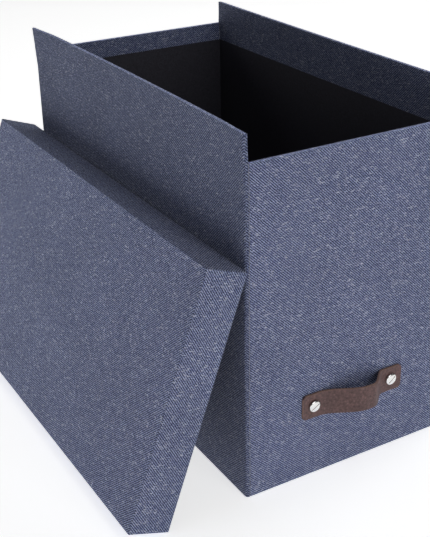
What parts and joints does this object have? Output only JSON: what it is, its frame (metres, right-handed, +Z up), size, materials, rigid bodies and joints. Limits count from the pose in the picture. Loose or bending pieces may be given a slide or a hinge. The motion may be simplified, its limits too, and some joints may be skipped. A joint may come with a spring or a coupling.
{
  "type": "archival box",
  "caption": "Tall archival box for hanging files, covered in slate-blue woven cloth, with black lining, a leather strap handle and a loose lid leaning on its side.",
  "frame": {"origin": "centre of the box's underside, on the floor", "axes": "+Z up; Y along the box's length, with the leather handle on the end at -Y; the lid leans on the long side at -X"},
  "size_m": [0.2721, 0.3617, 0.2635],
  "materials": {
    "cloth": "slate-blue twill bookcloth with lighter flecks",
    "greyboard": "uncoated grey board",
    "paper_tape": "brown gummed paper tape",
    "lining": "black matt paper",
    "leather": "dark brown smooth leather with cut edges",
    "screw_metal": "bright nickel plate"
  },
  "bodies": {
    "box": {"outer_wrap": "cloth", "base_board": "greyboard", "side_board_left": "greyboard", "side_board_right": "greyboard", "end_board_front": "greyboard", "end_board_back": "greyboard", "corner_stay_front_left": "paper_tape", "corner_stay_front_right": "paper_tape", "corner_stay_back_left": "paper_tape", "corner_stay_back_right": "paper_tape", "wall_lining": "lining", "floor_lining": "lining", "bottom_sheet": "lining", "handle_screw_left": "screw_metal", "handle_screw_right": "screw_metal", "screw_post_left": "screw_metal", "screw_post_right": "screw_metal", "handle_strap": "leather"},
    "lid": {"lid_wrap": "cloth", "lid_top_board": "greyboard", "lid_skirt_left": "greyboard", "lid_skirt_right": "greyboard", "lid_skirt_front": "greyboard", "lid_skirt_back": "greyboard", "lid_lining": "lining"}
  },
  "joints": [
    {"name": "lid_lift", "type": "slide", "parent": "box", "child": "lid", "axis": [0, 0, 1], "range_m": [0, 0.28]}
  ]
}
